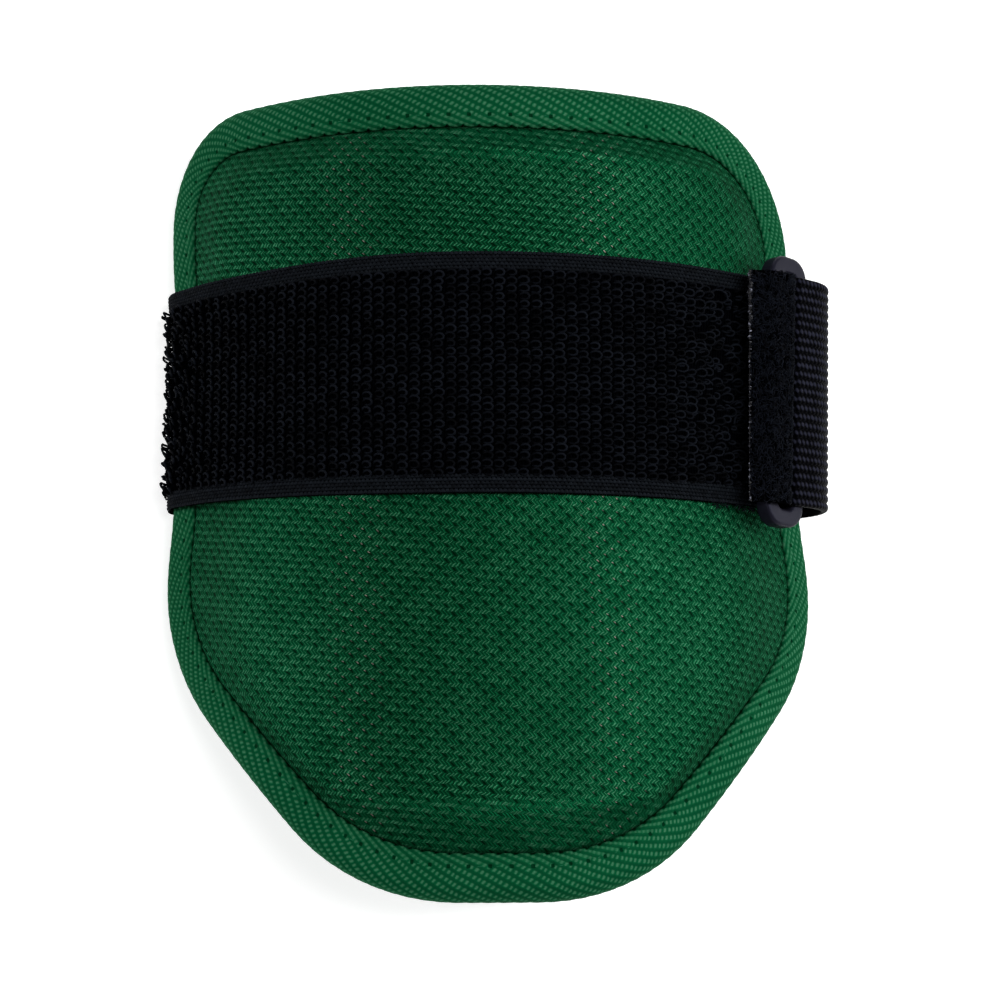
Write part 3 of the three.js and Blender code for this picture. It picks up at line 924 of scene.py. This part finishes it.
def make_cover():
    across, along, p, q, quads = knit_grid()
    reach, direction = polar(across, along)
    shown = ease((foot_reach(direction) - reach + SHOWN_START) / SHOWN_WIDTH)
    swell = SWELL * np.sin(across / SWELL_ACROSS + 1.1) * np.sin(along / SWELL_ALONG)
    swell *= ease((np.abs(along) - SWELL_FROM) / SWELL_FADE)
    relief = swell - COVER_SINK + HOLE_DEPTH * (knit_relief(p, q) - 0.6)
    height = pad_height(across, along) - facet_dip(across, along) + shown * relief
    front = bend(across, along, height)
    # The rim of the knit face carries the lining on the back.
    flat = joined(across, along)
    hem = open_rim(quads)
    back_flat, back_faces, back_hem = lining_mesh(flat[hem])
    back = bend(back_flat[:, 0], back_flat[:, 1], LINING_HEIGHT)
    back_hem += len(front)
    skirt = np.stack([np.roll(hem, -1), hem, back_hem, np.roll(back_hem, -1)], -1)
    if faces_up(back, back_faces):
        back_faces = back_faces[:, ::-1]
    if not faces_up(front, quads):
        quads, skirt = quads[:, ::-1], skirt[:, ::-1]
    faces = [quads, skirt, back_faces + len(front)]
    points, uv = np.r_[front, back], np.r_[flat, back_flat]
    piece = make_piece("guard_cover", points, faces, cover_material(), "cover_fabric", uv)
    piece.data.materials.append(lining_material())
    lined = np.zeros(len(piece.data.polygons), np.int32)
    lined[len(quads):] = 1
    piece.data.polygons.foreach_set("material_index", lined)
    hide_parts("guard_pad")


# The binding tape and its stitches

NOSE_RADIUS = FLANGE_DEPTH / 2 + GAP + TAPE_DEPTH
TAPE_FRONT = GAP + TAPE_DEPTH
TAPE_BACK = -FLANGE_DEPTH - TAPE_FRONT
LEG = TAPE_WIDTH - NOSE_RADIUS
NOSE_LENGTH = pi * NOSE_RADIUS
TAPE_INSIDE = TAPE_DEPTH - 0.1
PIT_HALF = 0.5
PIT_DEPTH = 0.4
LIP_WIDTH = 1.2
LIP_DROP = 0.35
NOTCH_DEPTH = 0.3
NOTCH_PULL = 0.75
STITCH_HALF = 0.42
STITCH_LEAN = 0.14
STITCH_SINK = 0.2
STITCH_DIVE = 0.4
THREAD_RADIUS = 0.2


def tape_section(w):
    """Inset, height and outward direction on the tape's outer face, at distances round it from its hem."""
    turn = pi * np.clip((w - LEG) / NOSE_LENGTH, 0, 1)
    back = np.clip(w - LEG - NOSE_LENGTH, 0, None)
    inset = NOSE_RADIUS - NOSE_RADIUS * np.sin(turn) + np.clip(LEG - w, 0, None) + back
    height = (TAPE_FRONT + TAPE_BACK) / 2 + NOSE_RADIUS * np.cos(turn)
    return inset, height, -np.sin(turn), np.cos(turn)


def rim_bend(station, inset, height):
    place = rim_points[station] + rim_inward[station] * inset[..., None]
    return bend(place[..., 0], place[..., 1], height)


def make_binding():
    station = np.arange(RIM_STATIONS)[:, None]
    d = station * RIM_LENGTH / RIM_STATIONS
    w = np.r_[np.linspace(0, LEG, 17), LEG + NOSE_LENGTH * np.linspace(0, 1, 20)[1:],
              LEG + NOSE_LENGTH + np.linspace(0, LEG, 7)[1:]]
    inset, height, out_inset, out_height = tape_section(w)
    phase = d + w / RIB_SLOPE - HEM_SHIFT * np.exp(-w / HEM_TURN)
    rib = np.abs(np.cos(pi * phase / RIB_FIT)) ** 0.8
    stitch = np.cos(TAU * d / STITCH_FIT)
    pit = np.exp(-(((w - STITCH_INSET) / PIT_HALF) ** 2)) * np.clip(-stitch, 0, 1) ** 3
    lip = np.clip(1 - w / LIP_WIDTH, 0, 1)
    notch = (1 - rib) ** 2 * lip
    raised = RIB_RELIEF * (rib - 0.5) - PIT_DEPTH * pit - LIP_DROP * lip ** 2 - NOTCH_DEPTH * notch
    outer = rim_bend(station, inset + out_inset * raised - NOTCH_PULL * notch, height + out_height * raised)
    hidden_w = np.r_[LEG * 2 + NOSE_LENGTH, LEG + NOSE_LENGTH * np.linspace(1, 0, 7), 0.0]
    inset, height, out_inset, out_height = tape_section(hidden_w)
    inner = rim_bend(station, inset - out_inset * TAPE_INSIDE, height - out_height * TAPE_INSIDE)
    points = np.concatenate([outer, inner], 1)
    section = points.shape[1]
    quads = grid_quads(RIM_STATIONS, section, rows_meet=True, columns_meet=True)
    row, corner = quads // section, quads % section
    from_start = d[row, 0]
    closing = (row.min(1) < row.max(1) - 1)[:, None] & (from_start < RIM_LENGTH / 2)
    uv = joined(from_start + RIM_LENGTH * closing, np.r_[w, hidden_w][corner]).reshape(-1, 2)
    piece = make_piece("binding", points.reshape(-1, 3), [quads], tape_material(), "binding_tape", uv)
    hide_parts("edge_binding")


def make_stitches():
    share = np.linspace(-1, 1, 11)
    d = (np.arange(STITCH_COUNT)[:, None] + STITCH_HALF * share) * STITCH_FIT
    station = d / RIM_LENGTH * RIM_STATIONS
    low = np.floor(station).astype(int)
    part = (station - low)[..., None]

    def on_rim(values):
        return values[low % RIM_STATIONS] * (1 - part) + values[(low + 1) % RIM_STATIONS] * part

    place, inward = on_rim(rim_points), unit(on_rim(rim_inward))
    across = STITCH_INSET + STITCH_LEAN * share + rng.normal(0, 0.07, (STITCH_COUNT, 1))
    place = place + inward * (TAPE_WIDTH - across)[..., None]
    height = TAPE_FRONT - STITCH_SINK - STITCH_DIVE * np.abs(share) ** 4
    height = height + rng.normal(0, 0.03, (STITCH_COUNT, 1))
    lines = bend(place[..., 0], place[..., 1], height)
    yarns = tubes(lines, THREAD_RADIUS * (1 - 0.25 * share ** 4), 8)
    make_piece("binding_stitches", *yarns, thread_material(), "binding_tape")


# The elastic strap

STRAP_ROWS = np.linspace(-STRAP_HALF, STRAP_HALF, 33)
STRAP_PLACES = np.stack([np.c_[places, right] for places, right, _ in map(strap_route, STRAP_ROWS)])
STRAP_DISTANCE = strap_route(0.0)[2]
PILE_START = STRAP_DISTANCE[FRONT_STATION - 2]
PILE_END = STRAP_DISTANCE[FLOOR_STATION]
EDGE_START = STRAP_DISTANCE[EDGE_STATION]
EDGE_LEAD = 10
EDGE_TRAIL = 4
EDGE_THINNING = 0.44
EDGE_DRAW = 0.35
EDGE_PILE_GROWTH = 1.4
EDGE_LOOSE_PILE = 1.6
LOOSE_PILE = 4.5
LOOSE_REACH = 36.0
ELASTIC_TOP = 1.25
SELVAGE_TOP = 1.15
BORDER_TOP = 0.8
BORDER_UNDER = 0.35
ELASTIC_UNDER = 0.05
LOOP_RADIUS = 0.27
LOOP_ROOT = 0.1
LOOP_SHAPE = np.array([
    # along the strap, across it, height: shares of a column, of a row, and millimetres
    (0.46, 0.1, 0.1),
    (0.3, 0.3, 0.6),
    (0.05, 0.38, 0.9),
    (-0.2, 0.3, 1.05),
    (-0.37, 0.05, 1.0),
    (-0.35, -0.25, 0.85),
    (-0.15, -0.42, 0.6),
    (0.1, -0.38, 0.35),
    (0.3, -0.25, 0.05),
])


def over_edge(distance):
    """1 where the strap is stretched thin round the left edge of the guard, and 0 on its other runs."""
    arriving = ease((distance - EDGE_START + EDGE_LEAD) / EDGE_LEAD)
    return arriving * ease((PILE_END - distance) / EDGE_TRAIL)


def thinned(out, distance):
    """A height above the napped face, where the strap is thinner and drawn in over the edge."""
    edge = over_edge(distance)
    return out * (1 - EDGE_THINNING * edge) - EDGE_DRAW * edge


def on_strap(distance, along, out):
    """Points of the strap: distances along its middle line, places across and heights above its nap."""
    distance, along, out = np.broadcast_arrays(distance, along, thinned(out, distance))
    station = np.interp(distance, STRAP_DISTANCE, np.arange(len(STRAP_DISTANCE)))
    row = np.clip((along + STRAP_HALF) / (STRAP_ROWS[1] - STRAP_ROWS[0]), 0, len(STRAP_ROWS) - 1)
    low_row = np.minimum(row.astype(int), len(STRAP_ROWS) - 2)
    low_station = np.minimum(station.astype(int), len(STRAP_DISTANCE) - 2)
    row_share, station_share = (row - low_row)[..., None], (station - low_station)[..., None]

    def on_row(number):
        before, after = STRAP_PLACES[number, low_station], STRAP_PLACES[number, low_station + 1]
        return before * (1 - station_share) + after * station_share

    place = on_row(low_row) * (1 - row_share) + on_row(low_row + 1) * row_share
    x = place[..., 0] + place[..., 2] * out
    z = place[..., 1] + place[..., 3] * out
    return joined(x, along * neck_at(x), z)


def make_elastic():
    pile_edge = STRAP_HALF - SELVAGE_WIDTH
    border = STRAP_HALF - 0.1
    upper = np.r_[-STRAP_HALF, -STRAP_HALF + 0.5, np.linspace(-pile_edge - 0.6, pile_edge + 0.6, 23),
                  STRAP_HALF - 0.5, STRAP_HALF]
    top = np.where(np.abs(upper) > pile_edge, SELVAGE_TOP, ELASTIC_TOP)
    top = np.where(np.abs(upper) > border, BORDER_TOP, top)
    lower = np.linspace(STRAP_HALF, -STRAP_HALF, 11)
    bottom = np.where(np.abs(lower) > border, BORDER_UNDER, ELASTIC_UNDER)
    section = np.r_[upper, lower]
    columns, distances = [], []
    for along, depth in zip(section, np.r_[top, bottom]):
        places, right, distance = strap_route(along)
        flat = places + right * thinned(depth, STRAP_DISTANCE)[:, None]
        columns.append(joined(flat[:, 0], along * neck_at(flat[:, 0]), flat[:, 1]))
        distances.append(distance)
    uv = joined(np.stack(distances, 1), section)
    piece = band_piece("elastic_band", np.stack(columns, 1), uv, elastic_material(), "strap_elastic")
    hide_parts("elastic_strap")


def make_pile():
    """Loops of the pile in columns: hooks that bulge to the right, looser near the fold and the edge."""
    pile_half = STRAP_HALF - SELVAGE_WIDTH - 0.3
    column = np.arange(PILE_START, PILE_END, LOOP_COLUMN)[:, None]
    count = len(column)
    edge = over_edge(column)
    near_fold = ease((PILE_START + LOOSE_REACH - column) / LOOSE_REACH)
    loose = 1 + LOOSE_PILE * near_fold + EDGE_LOOSE_PILE * edge
    shape_u, shape_w, shape_height = LOOP_SHAPE.T
    lines = []
    for row, along in enumerate(np.arange(-pile_half, pile_half, LOOP_ROW)):
        jitter = rng.normal(0, 1, (count, 3, 1))
        grow = 1 + 0.09 * loose * rng.normal(0, 1, (count, 1))
        spin = 0.11 * loose * rng.normal(0, 1, (count, 1))
        turned_u = shape_u * np.cos(spin) - shape_w * np.sin(spin)
        turned_w = shape_w * np.cos(spin) + shape_u * np.sin(spin)
        u = column + LOOP_COLUMN * (turned_u * grow + 0.045 * loose * jitter[:, 0])
        u = u + 0.1 * np.sin(row * 1.7)
        w = along + LOOP_ROW * (turned_w * grow + 0.08 * loose * jitter[:, 1])
        tall = np.clip(shape_height * (1 + 0.14 * loose * jitter[:, 2]), 0.05, 1.5)
        lines.append(on_strap(u, w, ELASTIC_TOP - LOOP_ROOT + tall * (1 + EDGE_PILE_GROWTH * edge)))
    yarns = tubes(np.concatenate(lines), LOOP_RADIUS)
    material = black_material("pile_yarn", (0.0004, 0.0005, 0.0009), (0.0047, 0.0059, 0.009), 0.03)
    make_piece("pile_loops", *yarns, material, "strap_elastic")


def make_selvages():
    """Knitted cords along the flat selvages on both edges of the strap."""
    u = np.linspace(PILE_START, PILE_END, 900)
    pitch = (SELVAGE_WIDTH - 0.2) / SELVAGE_CORDS
    lines, radii = [], []
    for side in (-1, 1):
        for cord in range(SELVAGE_CORDS):
            stitch = np.cos(TAU * u / CORD_STITCH + pi * cord)
            w = side * (STRAP_HALF - 0.45 - pitch * cord) + 0.08 * stitch
            lines.append(on_strap(u, w, 1 - 0.12 * (cord == 0) + 0.05 * stitch))
            radii.append(pitch * (0.52 + 0.1 * stitch))
    yarns = tubes(np.array(lines), np.array(radii), 6)
    dark, light = (0.0006, 0.0009, 0.0014), (0.0074, 0.0096, 0.0132)
    material = black_material("selvage_yarn", dark, light, 0.04, scale=1100.0, by_yarn=0.2)
    make_piece("selvage_yarns", *yarns, material, "strap_elastic")


THREAD_COUNT = 46
THREAD_STEPS = 10
THREAD_REACH = 15.0
LOOSE_THREAD_RADIUS = 0.09
FIBRE_COUNT = 2600
FIBRE_STEPS = 6
FIBRE_RADIUS = 0.07


def make_loose_threads():
    """Threads pulled out of the strap's lower edge beside the fold."""
    one = (THREAD_COUNT, 1)
    start = STRAP_DISTANCE[FRONT_STATION]
    share = np.linspace(0, 1, THREAD_STEPS)
    angle = rng.uniform(-2.6, -0.5, one) + rng.normal(0, 1.8, one) * share
    step = rng.uniform(1.2, 3.0, one) / THREAD_STEPS
    u = start + rng.uniform(0.5, THREAD_REACH, one) + np.cumsum(step * np.cos(angle), 1)
    w = -STRAP_HALF + rng.uniform(0.0, 1.2, one) + np.cumsum(step * np.sin(angle), 1)
    out = 0.5 + rng.uniform(0.0, 0.7, one) * np.sin(pi * share)
    lines = on_strap(u, np.clip(w, -STRAP_HALF, None), out)
    lines[..., 1] += np.clip(w + STRAP_HALF, -1.5, 0)
    yarns = tubes(lines, LOOSE_THREAD_RADIUS)
    material = black_material("loose_thread", (0.0004, 0.0005, 0.001), (0.007, 0.0086, 0.013), 0.04)
    make_piece("loose_threads", *yarns, material, "strap_elastic")


def make_nap():
    """Short curled fibres on the folded end, whose napped face is outward."""
    one = (FIBRE_COUNT, 1)
    end = STRAP_DISTANCE[FOLD_STATION + 6]
    inside = STRAP_HALF - 0.5
    share = np.linspace(0, 1, FIBRE_STEPS + 1)
    heading = rng.uniform(0, TAU, one)
    angle = heading + rng.normal(0, 2.6, one) * share
    step = rng.uniform(0.9, 2.2, one) / FIBRE_STEPS
    u = rng.uniform(0.2, end, one) + np.cumsum(step * np.cos(angle), 1)
    w = rng.uniform(-inside, inside, one) + np.cumsum(step * np.sin(angle), 1)
    rise = rng.uniform(0.2, 0.6, one) * np.sin(pi * share) ** 0.7
    lines = on_strap(np.clip(u, 0.1, None), np.clip(w, -STRAP_HALF, STRAP_HALF), -rise)
    yarns = tubes(lines, FIBRE_RADIUS)
    material = black_material("nap_fibre", (0.0002, 0.0003, 0.0006), (0.0066, 0.0084, 0.014), 0.04)
    make_piece("nap_fibres", *yarns, material, "strap_elastic")


def make_cut_edge():
    """The heat-cut end of the strap: a thin uneven bead, thicker towards the top."""
    steps, smoothing = 260, 25
    along = np.linspace(-STRAP_HALF + 0.1, STRAP_HALF - 0.1, steps)
    wide = 0.28 + 0.22 * ease((along - 2) / 20)
    knots = np.cumsum(rng.normal(0, 1, steps))
    knots -= np.convolve(knots, np.ones(smoothing) / smoothing, "same")
    radius = wide * (1 + 0.35 * rng.normal(0, 1, steps).clip(-1.5, 1.5))
    line = on_strap(0.1 + 0.04 * knots.clip(-4, 4), along, 0.35)
    yarns = tubes(line[None], radius[None], 7)
    make_piece("cut_edge", *yarns, cut_edge_material(), "strap_elastic")


# The webbing

STEPS_PER_RIB = 8
GROOVE_DEPTH = 0.7
TWIST_DEPTH = 0.09
UNDER_RIPPLE = 0.12
UNDER_SINK = 0.15


def make_webbing():
    rows = np.linspace(-STRAP_HALF, STRAP_HALF, WEB_RIBS * STEPS_PER_RIB + 1)
    routes = [webbing_route(along) for along in rows]
    places = np.stack([route[0] for route in routes], 1)
    right = np.stack([route[1] for route in routes], 1)
    distance = webbing_route(0.0)[2][:, None]
    rib = np.sqrt(1 - np.clip(2 * ((rows + STRAP_HALF) / WEB_PITCH % 1) - 1, -1, 1) ** 2)
    twist = np.cos(TAU * (distance / WEB_TWIST + WEB_SLANT * rows / WEB_PITCH))
    past_bar = ease((distance - distance[WEB_BAR_STATION]) / 2)
    shown = past_bar * (1 - 0.7 * ease((distance - WEB_SMOOTH_FROM + 1) / 7))
    depth = GROOVE_DEPTH * (1 - rib) + TWIST_DEPTH * (1 - twist) * rib * shown
    out = places + right * depth[..., None]
    back = slice(None, None, -STEPS_PER_RIB // 2)
    back_rows = rows[back]
    ripple = UNDER_RIPPLE * np.cos(TAU * (back_rows + STRAP_HALF) / WEB_PITCH)
    under = places[:, back] + right[:, back] * (WEB_DEPTH - UNDER_SINK + ripple)[:, None]
    flat = np.concatenate([out, under], 1)
    along = np.r_[rows, back_rows]
    points, uv = joined(flat[..., 0], along, flat[..., 1]), joined(distance, along)
    piece = band_piece("webbing", points, uv, webbing_material(), "strap_webbing")
    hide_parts("webbing_strap")


# The ring

RING_EDGE_RADIUS = 0.75
RING_EDGE_STEPS = 7
RING_CORNER_STEPS = 12
RING_SIDE_STEPS = 10


def loop_outline(width, length, radius):
    """Points and outward directions of a rounded rectangle."""
    corners = []
    for k, (sx, sy) in enumerate([(1, 1), (-1, 1), (-1, -1), (1, -1)]):
        turn = np.linspace(k, k + 1, RING_CORNER_STEPS) * pi / 2
        out = joined(np.cos(turn), np.sin(turn))
        centre = np.array([sx * (width / 2 - radius), sy * (length / 2 - radius)])
        corners.append((centre + radius * out, out))
    share = np.linspace(0, 1, RING_SIDE_STEPS + 2)[1:-1, None]
    points, outs = [], []
    for k, (corner, out) in enumerate(corners):
        following = corners[(k + 1) % 4][0]
        points += [corner, corner[-1] * (1 - share) + following[0] * share]
        outs += [out, np.repeat(out[-1:], RING_SIDE_STEPS, 0)]
    return np.concatenate(points), np.concatenate(outs)


def make_ring():
    outer, outer_out = loop_outline(RING_WIDTH, RING_LENGTH, RING_CORNER)
    slot, slot_out = loop_outline(SLOT_WIDTH, SLOT_LENGTH, SLOT_CORNER)
    half, radius = RING_DEPTH / 2, RING_EDGE_RADIUS
    turns = np.linspace(0, pi / 2, RING_EDGE_STEPS)
    quarter = [(radius * (1 - cos(t)), half - radius * (1 - sin(t))) for t in turns]
    up = [(outer - outer_out * back, height) for back, height in quarter]
    down = [(slot + slot_out * back, height) for back, height in reversed(quarter)]
    flat = [(up[-1][0] * (1 - share) + down[0][0] * share, half) for share in (0.33, 0.67)]
    top = [*up, *flat, *down]
    section = [*top, *[(place, -height) for place, height in reversed(top)]]
    x, y = np.stack([place for place, _ in section], 1).transpose(2, 0, 1)
    z = np.array([height for _, height in section])
    turn = atan(RING_SKEW)
    x, y = x * cos(turn) + y * sin(turn), y * cos(turn) - x * sin(turn)
    _, place = ring_frame(0.0)
    plane = place(x[..., None], z[..., None])
    points = joined(plane[..., 0], y, plane[..., 1])
    quads = grid_quads(*x.shape, rows_meet=True, columns_meet=True)
    piece = make_piece("ring", points.reshape(-1, 3), [quads], plastic_material(), "ring_plastic")
    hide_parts("buckle_ring")


make_camera()
make_lights()
make_floor()
make_cover()
make_binding()
make_stitches()
make_elastic()
make_pile()
make_selvages()
make_loose_threads()
make_nap()
make_cut_edge()
make_webbing()
make_ring()
